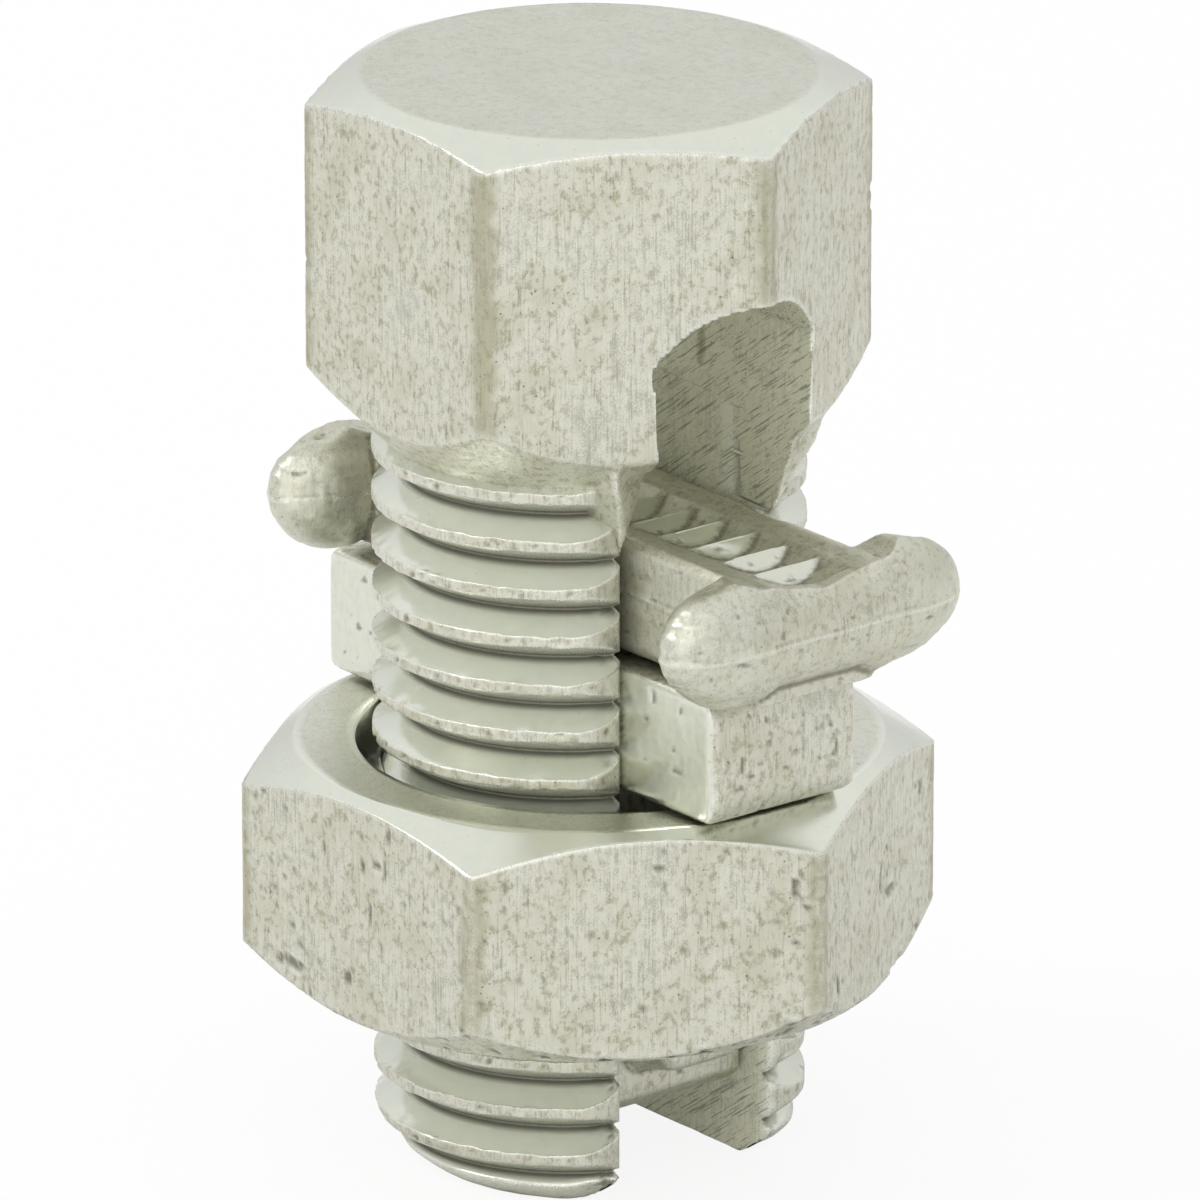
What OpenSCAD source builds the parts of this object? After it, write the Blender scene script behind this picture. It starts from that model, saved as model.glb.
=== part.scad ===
// Split bolt connector: a slotted bolt, a hex nut, the pressure bar that the nut carries up the
// slot, and a serrated spacer bar that keeps two cables apart. All units are millimetres.
// The origin is on the bolt's axis, level with the tips of its legs. +Z runs up to the head,
// and the cables lie along X, between the two legs.

/* [Bolt] */
// Height from the leg tips to the top of the head
bolt_h = 57.7; // [56:0.1:60]
// Width of the hex head across its flats
head_flats = 25.4; // [25:0.1:26.4]
// Diameter of the flat circle on top of the head
head_top_d = 23.2; // [20:0.1:24]
// Slope of the chamfer round the top of the head, in degrees
head_top_slope = 21; // [12:1:32]
// Height of the lower ends of the head's six corners
head_corner_z = 42.8; // [42:0.1:44]
// Outer diameter of the thread
thread_od = 22.2; // [22:0.05:22.4]
// Rise of the thread in one turn
thread_pitch = 2.54; // [2.5:0.02:2.7]
// Height of the rounded tips of the legs
tip_h = 2.9; // [1:0.1:3.4]

/* [Slot] */
// Width of the slot between the legs
slot_w = 9.7; // [9.6:0.05:9.9]
// Width of the slot inside the head, where its arched roof starts
saddle_w = 10.2; // [10:0.1:10.6]
// Height of the top of the arched roof
saddle_z = 48.7; // [48:0.1:50]
// Rise of the arched roof
saddle_rise = 3.0; // [2:0.1:4]

/* [Nut] */
// Width of the nut across its flats
nut_flats = 31.5; // [31:0.1:33]
// Height of the nut
nut_h = 12.3; // [11:0.1:12.4]
// Height of the nut's underside above the leg tips
nut_z = 10.0; // [8:0.1:12]
// Angle through which the nut's flats are turned from the head's, in degrees
nut_angle = 2; // [0:1:59]
// Diameter of the countersink in the top of the nut
countersink_d = 24.2; // [23:0.1:26]

/* [Pressure bar] */
// Length of the bar
bar_l = 31.8; // [30:0.2:34]
// Width of the bar, a sliding fit in the slot
bar_w = 9.5; // [9.2:0.05:9.5]
// Height of the bar
bar_h = 6.8; // [6:0.1:7]
// Length of the stem along the bar, inside the nut
stem_l = 13.6; // [10:0.2:15]
// Height of the stem's lower end above the leg tips
stem_end_z = 4.0; // [3.8:0.1:6]

/* [Spacer bar] */
// Distance between the spacer's two cross bars
spacer_span = 31.9; // [31.7:0.1:33]
// How far the loose spacer has slid along the slot
spacer_shift = 1.75; // [0:0.05:1.75]
// Width of the spacer between its cross bars
spacer_w = 8.6; // [8:0.1:9.2]
// Height of the spacer, from its underside to the tops of its lobes
spacer_h = 7.4; // [7:0.1:7.6]
// Length of each cross bar
cross_l = 19.1; // [17:0.1:20]
// Thickness of each cross bar along the slot
cross_t = 4.6; // [4:0.1:4.7]
// Distance from one cable tooth to the next
tooth_pitch = 2.5; // [2:0.1:3.5]

/* [Hidden] */
$fn = 96;

// Metal colours
plated = "#c3c5b8";
plated_bright = "#ccd0c8";
plated_dull = "#b9bbac";

// Clearances
seat_gap = 0.1;     // between parts that lie on each other
flank_gap = 0.12;   // between the nut's thread and the bolt's, square to the flanks

// Thread: a 60 degree form with a flat crest and a nearly sharp root
flank_tan = tan(30);
thread_lift = 0.75;          // height of the first crest on the slot's +X side
thread_r = thread_od / 2;
thread_depth = 1.68;
root_r = thread_r - thread_depth;
root_flat = 0.08;
crest_half = (thread_pitch - root_flat) / 2 - thread_depth * flank_tan;

// The nut's thread is the bolt's with the clearance added
nut_major_r = thread_r + 0.15;
nut_minor_r = root_r + 0.3;
nut_crest_half = crest_half - (nut_major_r - thread_r) * flank_tan + flank_gap / cos(30);
nut_facets = 36;

// Leg corners: the blank is rounded where each leg meets the slot
corner_r = 2.5;
corner_at = 43;              // degrees from the slot's direction to the arc's centre
corner_orbit = thread_r - corner_r;
corner_angles = [26, 29, 32, 35.5, 39];
crest_steps = 10;

head_corner_r = head_flats / 2 / cos(30);
saddle_r = (pow(saddle_w / 2, 2) + pow(saddle_rise, 2)) / (2 * saddle_rise);
slot_reach = 20;
wall_ease = 0.02;            // between walls of the legs and the head that lie on one plane

nut_corner_r = nut_flats / 2 / cos(30);
nut_top_z = nut_z + nut_h;
nut_top_face_r = 15.1;
nut_top_slope = 30;
nut_under_face_r = 15.45;
nut_under_slope = 39;

bar_z = nut_top_z + seat_gap;
bar_top_z = bar_z + bar_h;
stem_w = bar_w - 0.3;
lip_reach = 2.9;
lip_half_w = 3.2;
lip_low_z = stem_end_z + 2.1;
lip_high_z = nut_z - 0.3;

spacer_z = bar_top_z + seat_gap;
ridge_z = spacer_z + spacer_h - 0.8;     // tops of the two ridges beside the teeth
groove_half_w = 2.25;
groove_r = 8.2;
tooth_tip_z = ridge_z - 0.31;
groove_low_z = tooth_tip_z - (groove_r - sqrt(pow(groove_r, 2) - pow(groove_half_w, 2)));
tooth_face_l = 1.15;
spacer_end = spacer_span / 2 + cross_t / 2;

// ---- Thread geometry ----

// One turn of thread as radius and height pairs, with its crest cut back to the radius limit
function turn_profile(crest, half, root, limit) =
    let (top = min(crest, limit), low = min(root, limit),
         top_half = half + (crest - top) * flank_tan,
         low_half = half + (crest - root) * flank_tan)
    [[low, -low_half], [top, -top_half], [top, top_half], [low, low_half]];

// The points of a thread up one column, at an angle round the axis
function thread_column(angle, turns, profile) =
    [for (t = turns, p = profile)
        [p[0] * cos(angle), p[0] * sin(angle), p[1] + thread_lift + thread_pitch * (t + angle / 360)]];

// How far out the rounded corner of a leg reaches, at an angle from the slot's direction
function corner_limit(a) =
    let (along = corner_orbit * cos(corner_at - a),
         inside = pow(along, 2) - pow(corner_orbit, 2) + pow(corner_r, 2))
    a >= corner_at ? thread_r : along + sqrt(max(0, inside));

// Angles of a leg's columns, measured from the start of its half of the circle
function leg_angles() = concat(
    corner_angles,
    [for (i = [0:crest_steps]) corner_at + (180 - 2 * corner_at) * i / crest_steps],
    [for (i = [len(corner_angles) - 1:-1:0]) 180 - corner_angles[i]]);

// One threaded leg, before the slot is cut: start is 0 for the far leg and 180 for the near one
module threaded_leg(start) {
    angles = leg_angles();
    turns = [-2:16];
    columns = [for (a = angles)
        thread_column(start + a, turns,
            turn_profile(thread_r, crest_half, root_r, corner_limit(min(a, 180 - a))))];
    rows = len(columns[0]);
    count = len(angles);
    middle = [7 * cos(start + 90), 7 * sin(start + 90)];
    low = columns[0][0][2];
    high = columns[count - 1][rows - 1][2];
    points = concat([for (c = columns, p = c) p],
        [[middle[0], middle[1], low], [middle[0], middle[1], high]]);
    function at(i, j) = (i % count) * rows + j;
    faces = concat(
        [for (i = [0:count - 1], j = [0:rows - 2], half = [0, 1])
            half == 0 ? [at(i, j), at(i + 1, j + 1), at(i + 1, j)]
                      : [at(i, j), at(i, j + 1), at(i + 1, j + 1)]],
        [for (i = [0:count - 1]) [count * rows, at(i, 0), at(i + 1, 0)]],
        [for (i = [0:count - 1]) [count * rows + 1, at(i + 1, rows - 1), at(i, rows - 1)]]);
    polyhedron(points, faces, convexity = 20);
}

// A whole threaded rod, long enough to cut the nut's thread
module thread_cutter() {
    first = floor(nut_z / thread_pitch) - 2;
    last = ceil(nut_top_z / thread_pitch) + 1;
    profile = turn_profile(nut_major_r, nut_crest_half, nut_minor_r, nut_major_r);
    columns = [for (i = [0:nut_facets - 1])
        thread_column(360 * i / nut_facets, [first:last], profile)];
    rows = len(columns[0]);
    step = len(profile);
    count = nut_facets;
    points = concat([for (c = columns, p = c) p],
        [[0, 0, columns[0][0][2]], [0, 0, columns[count - 1][rows - 1][2]]]);
    // After a full turn a column's rows are one turn of thread higher
    function at(i, j) = i < count ? i * rows + j : j + step;
    foot = count * rows;
    crown = foot + 1;
    faces = concat(
        [for (i = [0:count - 1], j = [0:rows - 2 - (i == count - 1 ? step : 0)], half = [0, 1])
            half == 0 ? [at(i, j), at(i + 1, j + 1), at(i + 1, j)]
                      : [at(i, j), at(i, j + 1), at(i + 1, j + 1)]],
        [for (i = [0:count - 1]) [foot, at(i, 0), at(i + 1, 0)]],
        [for (j = [0:step - 1]) [foot, j + 1, j]],
        [for (i = [0:count - 2]) [crown, at(i + 1, rows - 1), at(i, rows - 1)]],
        [for (j = [rows - 1 - step:rows - 2]) [crown, at(count - 1, j), at(count - 1, j + 1)]],
        [[crown, rows - 1, at(count - 1, rows - 1 - step)]]);
    polyhedron(points, faces, convexity = 20);
}

// ---- Bolt ----

// Chamfered hex head, coned underneath down to the shank
module head_blank() {
    outer = head_corner_r + 1;
    cone_r = thread_r - 0.7;
    intersection() {
        cylinder(h = bolt_h, r = head_corner_r, $fn = 6);
        rotate_extrude()
            polygon([
                [0, head_corner_z - (head_corner_r - cone_r)],
                [cone_r, head_corner_z - (head_corner_r - cone_r)],
                [outer, head_corner_z + (outer - head_corner_r)],
                [outer, bolt_h - (outer - head_top_d / 2) * tan(head_top_slope)],
                [head_top_d / 2, bolt_h],
                [0, bolt_h]]);
    }
}

// Tapered tongue that runs from the head down the edge of a leg
module cheek() {
    low = 35.2;
    high = head_corner_z + 1.2;
    intersection() {
        cylinder(h = high, r = head_corner_r - wall_ease, $fn = 6);
        rotate([90, 0, 0])
            translate([0, 0, -8])
                linear_extrude(8)
                    polygon([[6, low], [8.7, low], [10.2, 38.8], [11.1, 42.3], [11.6, high], [6, high]]);
        rotate([90, 0, 90])
            linear_extrude(14)
                polygon([[4, low], [4.9, low], [5.7, 37.5], [6.6, 39.5], [7.2, high], [4, high]]);
    }
}

// The slot's parallel sides between the legs and slight flare in the head, wider by ease each side
module slot_sides(ease) {
    spring_z = saddle_z - saddle_rise;
    flare_z = head_corner_z - 1.5;
    low = slot_w / 2 + ease;
    high = saddle_w / 2 + ease;
    rotate([90, 0, 90])
        translate([0, 0, -slot_reach])
            linear_extrude(2 * slot_reach)
                polygon([[-low, -1], [low, -1], [low, flare_z],
                    [high, spring_z], [-high, spring_z], [-low, flare_z]]);
}

// The slot's arched roof
module slot_roof() {
    rotate([90, 0, 90])
        translate([0, 0, -slot_reach])
            linear_extrude(2 * slot_reach)
                intersection() {
                    translate([0, saddle_z - saddle_r]) circle(saddle_r);
                    translate([-saddle_w, saddle_z - saddle_rise - 0.5]) square([2 * saddle_w, saddle_rise + 1]);
                }
}

// Outer limit of the shank: the tips are chamfered all round, and rounder where they meet the slot
module shank_limit() {
    outer = thread_r + 0.3;
    neck_z = 41;
    tip_ends = [[6.1, 0], [7.3, 0.5], [8.25, 1.7], [8.5, 3.4], [outer, 6], [outer, neck_z]];
    intersection() {
        rotate_extrude()
            polygon([[0, 0], [thread_r - 2.3, 0], [thread_r - 1.4, tip_h * 0.15],
                [thread_r - 0.8, tip_h * 0.35], [thread_r - 0.3, tip_h * 0.65], [thread_r, tip_h],
                [outer, tip_h * 1.4], [outer, neck_z], [0, neck_z]]);
        rotate([90, 0, 0])
            linear_extrude(2 * slot_reach, center = true)
                polygon(concat(tip_ends,
                    [for (i = [len(tip_ends) - 1:-1:0]) [-tip_ends[i][0], tip_ends[i][1]]]));
    }
}

// Both legs, threaded, with the cheeks: the crests gauge at the full outer diameter, across the slot
module threaded_shank() {
    resize([0, thread_od, 0])
        difference() {
            union() {
                intersection() {
                    union() {
                        threaded_leg(0);
                        threaded_leg(180);
                    }
                    shank_limit();
                }
                for (sx = [0, 1], sy = [0, 1])
                    mirror([sx, 0, 0]) mirror([0, sy, 0]) cheek();
            }
            slot_sides(wall_ease);
        }
}

module split_bolt() {
    color(plated)
        union() {
            difference() {
                head_blank();
                slot_sides(0);
                slot_roof();
            }
            threaded_shank();
        }
}

// ---- Nut ----

module hex_nut() {
    outer = nut_corner_r + 1;
    countersink_r = countersink_d / 2;
    relief_r = nut_major_r + 0.15;
    color(plated_bright)
        difference() {
            intersection() {
                rotate(nut_angle) translate([0, 0, nut_z]) cylinder(h = nut_h, r = nut_corner_r, $fn = 6);
                rotate_extrude()
                    polygon([
                        [0, nut_z], [nut_under_face_r, nut_z],
                        [outer, nut_z + (outer - nut_under_face_r) * tan(nut_under_slope)],
                        [outer, nut_top_z - (outer - nut_top_face_r) * tan(nut_top_slope)],
                        [nut_top_face_r, nut_top_z], [0, nut_top_z]]);
            }
            thread_cutter();
            rotate_extrude()
                polygon([
                    [0, nut_top_z + 1], [countersink_r + 1, nut_top_z + 1],
                    [nut_minor_r - 0.2, nut_top_z - (countersink_r - nut_minor_r + 0.2)],
                    [0, nut_top_z - (countersink_r - nut_minor_r + 0.2)]]);
            rotate_extrude()
                polygon([
                    [0, nut_z - 1], [relief_r + 1, nut_z - 1],
                    [nut_minor_r - 0.2, nut_z + (relief_r - nut_minor_r + 0.2)],
                    [0, nut_z + (relief_r - nut_minor_r + 0.2)]]);
        }
}

// ---- Pressure bar ----

// Rectangle with round corners, from squares and circles, centred on the origin
module round_rect(x, y, r) {
    square([x - 2 * r, y], center = true);
    square([x, y - 2 * r], center = true);
    for (sx = [-1, 1], sy = [-1, 1])
        translate([sx * (x / 2 - r), sy * (y / 2 - r)]) circle(r);
}

// Outline of the bar from the side, with barrelled ends and rounded edges
module bar_side() {
    half_l = bar_l / 2;
    half_h = bar_h / 2;
    steps = 12;
    function end_x(t) = half_l - 0.35 * pow(t, 2) - 0.4 * pow(t, 8);
    polygon(concat(
        [for (i = [-steps:steps]) [end_x(i / steps), half_h * i / steps]],
        [for (i = [steps:-1:-steps]) [-end_x(i / steps), half_h * i / steps]]));
}

// The bar: rounded in plan at its corners and barrelled at its ends
module bar_block() {
    translate([0, 0, bar_z + bar_h / 2])
        intersection() {
            linear_extrude(2 * bar_h, center = true) round_rect(bar_l, bar_w, 0.6);
            rotate([90, 0, 0]) linear_extrude(2 * bar_w, center = true) bar_side();
            rotate([90, 0, 90]) linear_extrude(2 * bar_l, center = true) round_rect(bar_w, bar_h, 0.5);
        }
}

// Stem inside the nut, with its lower edges chamfered
module stem() {
    bevel = 0.8;
    rotate([90, 0, 0])
        translate([0, 0, -stem_w / 2])
            linear_extrude(stem_w)
                polygon([
                    [-stem_l / 2, bar_z + 1], [-stem_l / 2, stem_end_z + bevel],
                    [-stem_l / 2 + bevel, stem_end_z], [stem_l / 2 - bevel, stem_end_z],
                    [stem_l / 2, stem_end_z + bevel], [stem_l / 2, bar_z + 1]]);
}

// Lip staked outwards under the nut, which keeps nut and bar together
module staked_lip() {
    r = 0.9;
    hull()
        for (y = [-1, 1]) {
            translate([stem_l / 2 - 1, y * (lip_half_w - r), lip_low_z + r]) sphere(r, $fn = 24);
            translate([stem_l / 2 - 1, y * (lip_half_w - r), lip_high_z - r]) sphere(r, $fn = 24);
            translate([stem_l / 2 + lip_reach - r, y * (lip_half_w - r - 0.7), lip_low_z + r + 0.6])
                sphere(r, $fn = 24);
            translate([stem_l / 2 + lip_reach - r, y * (lip_half_w - r), lip_high_z - r])
                sphere(r, $fn = 24);
        }
}

module pressure_bar() {
    color(plated_dull)
        union() {
            bar_block();
            stem();
            for (side = [0, 1]) mirror([side, 0, 0]) staked_lip();
        }
}

// ---- Spacer bar ----

// Section of the spacer across the slot: rounded keel, two ridges and a shallow groove
module spacer_section() {
    half = spacer_w / 2;
    keel_r = 1.2;
    ridge_y = half - 0.35;
    groove_step = 2 * asin(groove_half_w / groove_r) / 8;
    polygon(concat(
        [for (a = [180:15:270]) [-half + keel_r + keel_r * cos(a), spacer_z + keel_r + keel_r * sin(a)]],
        [for (a = [270:15:360]) [half - keel_r + keel_r * cos(a), spacer_z + keel_r + keel_r * sin(a)]],
        [[half, ridge_z - 0.5], [ridge_y, ridge_z - 0.06], [ridge_y - 0.4, ridge_z]],
        [for (i = [4:-1:-4])
            [groove_r * sin(i * groove_step), groove_low_z + groove_r * (1 - cos(i * groove_step))]],
        [[-ridge_y + 0.4, ridge_z], [-ridge_y, ridge_z - 0.06], [-half, ridge_z - 0.5]]));
}

// Cross bar with a long round lobe at each end, which stops the spacer sliding out of the slot
module cross_bar() {
    lobe_l = 9.1;
    lobe_h = spacer_h - 0.2;
    nose_h = spacer_h - 1.6;
    for (side = [-1, 1])
        translate([0, side * (cross_l - lobe_l) / 2, spacer_z + spacer_h - lobe_h / 2])
            hull() scale([cross_t, lobe_l, lobe_h]) sphere(d = 1, $fn = 32);
    translate([0, 0, ridge_z - nose_h / 2])
        rotate([90, 0, 0])
            linear_extrude(cross_l / 2, center = true)
                scale([cross_t - 0.3, nose_h]) circle(d = 1, $fn = 32);
}

// Saw teeth across the groove: long faces look towards +X, short backs towards -X
module teeth() {
    count = floor((2 * spacer_end - 1.6) / tooth_pitch);
    start = -count * tooth_pitch / 2;
    rotate([90, 0, 0])
        translate([0, 0, -groove_half_w - 0.1])
            linear_extrude(2 * groove_half_w + 0.2)
                polygon(concat(
                    [[start, groove_low_z - 1]],
                    [for (i = [0:count - 1], k = [0, 1, 2])
                        [start + i * tooth_pitch + [0, 0.12, tooth_face_l + 0.12][k],
                         k == 1 ? tooth_tip_z : groove_low_z - 0.03]],
                    [[start + count * tooth_pitch, groove_low_z - 0.03],
                     [start + count * tooth_pitch, groove_low_z - 1]]));
}

// What the channel between the lobes removes from the cross bars
module channel_cut() {
    half = spacer_w / 2;
    reach = spacer_end + 1;
    side = [[half + 1.7, ridge_z + 2], [half + 1.5, ridge_z + 0.8], [half + 0.8, ridge_z + 0.62],
        [half + 0.2, ridge_z + 0.3], [half - 0.4, ridge_z + 0.07], [half - 1, ridge_z]];
    rotate([90, 0, 90])
        translate([0, 0, -reach])
            linear_extrude(2 * reach)
                polygon(concat(
                    [for (p = side) [-p[0], p[1]]],
                    [[-groove_half_w, tooth_tip_z], [0, groove_low_z], [groove_half_w, tooth_tip_z]],
                    [for (i = [len(side) - 1:-1:0]) side[i]]));
}

module spacer_bar() {
    color(plated)
        translate([spacer_shift, 0, 0]) {
            difference() {
                for (end = [-1, 1]) translate([end * spacer_span / 2, 0, 0]) cross_bar();
                channel_cut();
            }
            rotate([90, 0, 90])
                linear_extrude(spacer_span + 1.2, center = true) spacer_section();
            teeth();
        }
}

split_bolt();
hex_nut();
pressure_bar();
spacer_bar();
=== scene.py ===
"""Split bolt connector: the finish of its bolt, nut, pressure bar and spacer bar.

Laid out as an add-on and run as a script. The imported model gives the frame, the pieces stand on
their leg tips with +Z up, and every length is in metres unless a name says otherwise.
"""
import math

import bmesh
import bpy
import numpy as np
from bpy.props import FloatProperty, FloatVectorProperty, PointerProperty
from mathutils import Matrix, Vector


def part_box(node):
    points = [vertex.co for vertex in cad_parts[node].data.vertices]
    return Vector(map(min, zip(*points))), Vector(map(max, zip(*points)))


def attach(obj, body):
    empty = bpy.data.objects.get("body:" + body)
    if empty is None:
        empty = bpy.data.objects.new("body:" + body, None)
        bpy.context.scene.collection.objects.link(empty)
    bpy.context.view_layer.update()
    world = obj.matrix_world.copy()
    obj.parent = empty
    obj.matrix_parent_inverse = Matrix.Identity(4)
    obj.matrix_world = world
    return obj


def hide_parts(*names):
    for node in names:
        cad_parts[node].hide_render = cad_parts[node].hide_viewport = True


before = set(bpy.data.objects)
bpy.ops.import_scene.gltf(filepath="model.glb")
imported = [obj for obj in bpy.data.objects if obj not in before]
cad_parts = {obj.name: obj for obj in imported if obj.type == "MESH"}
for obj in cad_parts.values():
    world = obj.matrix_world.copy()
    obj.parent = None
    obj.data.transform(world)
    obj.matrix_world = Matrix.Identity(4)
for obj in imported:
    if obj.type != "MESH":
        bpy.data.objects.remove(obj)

bl_info = {
    "name": "Split Bolt Connector",
    "version": (1, 0, 0),
    "blender": (4, 5, 0),
    "location": "3D View > Sidebar > Connector",
    "description": "Builds a plated split bolt connector piece by piece",
    "category": "Add Mesh",
}

MM = 0.001

HEX_SIDE = math.radians(60)                 # angle that one side of a hex spans
FLANK_TAN = math.tan(math.radians(30))      # slope of the thread's 60 degree form
ROOT_FLAT = 0.08 * MM                       # width of the thread's flat root
SKIN_STEP = 0.18 * MM                       # quads of the head's and the pressure bar's skins
TOOTH_STEP = 0.145 * MM                     # finer quads for the spacer bar and its teeth


# ---- Sizes and colours a user may change ----

def length(name, text, value):
    """A length property, in metres."""
    return FloatProperty(name=name, description=text, default=value, unit="LENGTH", precision=5)


def angle(name, text, degrees):
    """An angle property, given in degrees."""
    return FloatProperty(name=name, description=text, default=math.radians(degrees), subtype="ANGLE")


def colour(name, text, value):
    """A colour property."""
    return FloatVectorProperty(name=name, description=text, default=value, size=3, min=0, max=1,
                               subtype="COLOR")


class BoltSizes(bpy.types.PropertyGroup):
    """Sizes of the slotted bolt."""
    head_flats: length("Head flats", "Width of the hex head across its flats", 25.4 * MM)
    head_top_d: length("Head top", "Diameter of the flat circle on the head", 23.2 * MM)
    head_top_slope: angle("Head chamfer", "Slope of the chamfer round the head's top", 21)
    head_corner_z: length("Head corners", "Height of the lower ends of the head's corners", 42.8 * MM)
    corner_round: length("Corner rounding", "Radius of the head's upright corners", 0.7 * MM)
    thread_od: length("Thread", "Outer diameter of the thread", 22.2 * MM)
    pitch: length("Pitch", "Rise of the thread in one turn", 2.54 * MM)
    thread_depth: length("Thread depth", "Depth of the thread from crest to root", 1.68 * MM)
    thread_lift: length("Thread start", "Height of the first crest on the slot's +X side", 0.75 * MM)
    slot_w: length("Slot", "Width of the slot between the legs", 9.7 * MM)
    saddle_w: length("Saddle width", "Width of the slot where its arched roof starts", 10.2 * MM)
    saddle_z: length("Saddle top", "Height of the top of the arched roof", 48.7 * MM)
    saddle_rise: length("Saddle rise", "Rise of the arched roof", 3.0 * MM)
    tip_h: length("Tips", "Height of the rounded tips of the legs", 2.9 * MM)


class NutSizes(bpy.types.PropertyGroup):
    """Sizes of the hex nut."""
    flats: length("Flats", "Width of the nut across its flats", 31.5 * MM)
    turn: angle("Turn", "Angle of the nut's flats from the head's", 2)
    top_face_r: length("Top face", "Radius of the flat ring on top of the nut", 15.1 * MM)
    top_slope: angle("Top chamfer", "Slope of the chamfer round the nut's top", 30)
    under_face_r: length("Under face", "Radius of the flat ring under the nut", 15.45 * MM)
    under_slope: angle("Under chamfer", "Slope of the chamfer round the nut's underside", 39)
    countersink_d: length("Countersink", "Diameter of the countersink in the nut's top", 24.2 * MM)
    corner_round: length("Corner rounding", "Radius of the nut's upright corners", 0.7 * MM)


class FinishSettings(bpy.types.PropertyGroup):
    """Colours of the tin plating, and of the shade and highlight painted on it."""
    pale: colour("Pale plate", "Clean rough plating on the flats", (0.70, 0.695, 0.60))
    bright: colour("Bright plate", "Smooth plating on chamfers and thread flanks", (0.75, 0.78, 0.70))
    olive: colour("Olive film", "Dull film on corners and in hollows", (0.38, 0.36, 0.23))
    # dark also paints the shade in hollows, along the thread roots and at the foot of each tooth
    dark: colour("Dark specks", "Specks, pits and scratches", (0.12, 0.115, 0.075))
    slot_grey: colour("Slot grey", "Sawn walls of the slot", (0.85, 0.85, 0.69))
    # shine is plating rubbed bright along edges and also a painted highlight there
    shine: colour("Worn edges", "Plating rubbed bright along edges", (0.93, 0.94, 0.89))


class StageSettings(bpy.types.PropertyGroup):
    """Camera and light."""
    distance: length("Distance", "Camera to the object", 0.8)
    lens: FloatProperty(name="Lens", description="Focal length in millimetres", default=470.5)
    side_turn: angle("Camera turn", "Camera direction round the object, from +X towards -Y", 38.69)
    elevation: angle("Camera height", "Camera angle above the horizon", 19.22)
    aim_right: length("Aim right", "Aim beside the bolt's axis, to the right", 0.55 * MM)
    aim_up: length("Aim up", "Aim above the aiming height", -0.32 * MM)
    aim_z: length("Aim height", "Height on the axis that the camera looks at", 29.714 * MM)
    world: FloatProperty(name="World", description="Strength of the surrounding light", default=0.94)
    key: FloatProperty(name="Key", description="Power of the large lamp in watts", default=3.6)


class ConnectorSettings(bpy.types.PropertyGroup):
    """Everything the panel shows."""
    bolt: PointerProperty(type=BoltSizes)
    nut: PointerProperty(type=NutSizes)
    finish: PointerProperty(type=FinishSettings)
    stage: PointerProperty(type=StageSettings)


# ---- Noise and meshes from arrays ----

def lattice(cells, seed):
    """A fixed random number from 0 to 1 for each lattice cell."""
    x, y, z = (cells[:, k] for k in range(3))
    n = (x * 374761393 + y * 668265263 + z * 1440662683 + seed * 974634777) & 0xFFFFFFFF
    n = ((n ^ (n >> 13)) * 1274126177) & 0xFFFFFFFF
    return ((n ^ (n >> 16)) & 0xFFFF) / 65535.0


def noise(points, grain, seed=0, octaves=1, stretch=(1, 1, 1)):
    """Smooth noise from -1 to 1 with lumps about grain across, longer along stretched axes."""
    total, weight, sum_of = np.zeros(len(points)), 1.0, 0.0
    for octave in range(octaves):
        p = points / (grain * np.array(stretch)) * 2 ** octave
        low = np.floor(p).astype(np.int64)
        f = p - low
        f = f * f * (3 - 2 * f)
        value = np.zeros(len(points))
        for corner in range(8):
            step = np.array([corner & 1, corner >> 1 & 1, corner >> 2 & 1])
            w = np.prod(np.where(step, f, 1 - f), axis=1)
            value += w * lattice(low + step, seed + octave * 17)
        total += weight * (2 * value - 1)
        sum_of += weight
        weight *= 0.5
    return total / sum_of


def ease(x, low, high):
    """0 below low, 1 above high and smooth between."""
    t = np.clip((x - low) / (high - low), 0, 1)
    return t * t * (3 - 2 * t)


def grid_faces(rows, columns, wrap_rows=False, wrap_columns=False):
    """Quads of a grid of points numbered row by row."""
    i = np.arange(rows if wrap_rows else rows - 1)
    j = np.arange(columns if wrap_columns else columns - 1)
    i, j = (a.ravel() for a in np.meshgrid(i, j, indexing="ij"))
    up, right = (i + 1) % rows, (j + 1) % columns
    return np.stack([i * columns + j, i * columns + right, up * columns + right, up * columns + j], 1)


def new_object(name, data):
    """A new object in the scene."""
    made = bpy.data.objects.new(name, data)
    bpy.context.scene.collection.objects.link(made)
    return made


def mesh_from(name, points, quads, caps=()):
    """A new object from an array of points, an array of quads and a list of further faces."""
    mesh = bpy.data.meshes.new(name)
    mesh.from_pydata(np.asarray(points).tolist(), [], quads.tolist() + [list(c) for c in caps])
    mesh.validate()
    work = bmesh.new()
    work.from_mesh(mesh)
    bmesh.ops.recalc_face_normals(work, faces=work.faces)
    work.to_mesh(mesh)
    work.free()
    return new_object(name, mesh)


def tube(name, points, rows, columns):
    """A closed piece from rows of points round it, with a flat face on each end."""
    caps = [list(range(columns))[::-1], list(range((rows - 1) * columns, rows * columns))]
    return mesh_from(name, points, grid_faces(rows, columns, wrap_columns=True), caps)


def ring_points(profile, theta):
    """Points round the axis for each row of reaches and heights, row by row."""
    rows = [np.stack([r * np.cos(theta), r * np.sin(theta), z], 1) for r, z in profile]
    return np.array(rows).reshape(-1, 3)


def vectors(items, key):
    """One vector of each item, as the rows of an array."""
    values = np.empty(len(items) * 3)
    items.foreach_get(key, values)
    return values.reshape(-1, 3)


def places(piece):
    """The piece's vertices as an array."""
    return vectors(piece.data.vertices, "co")


def normals(piece):
    """The piece's vertex normals as an array."""
    return vectors(piece.data.vertex_normals, "vector")


def move_to(piece, points):
    """Puts the piece's vertices at the given points."""
    piece.data.vertices.foreach_set("co", np.asarray(points).ravel())
    piece.data.update()


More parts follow.
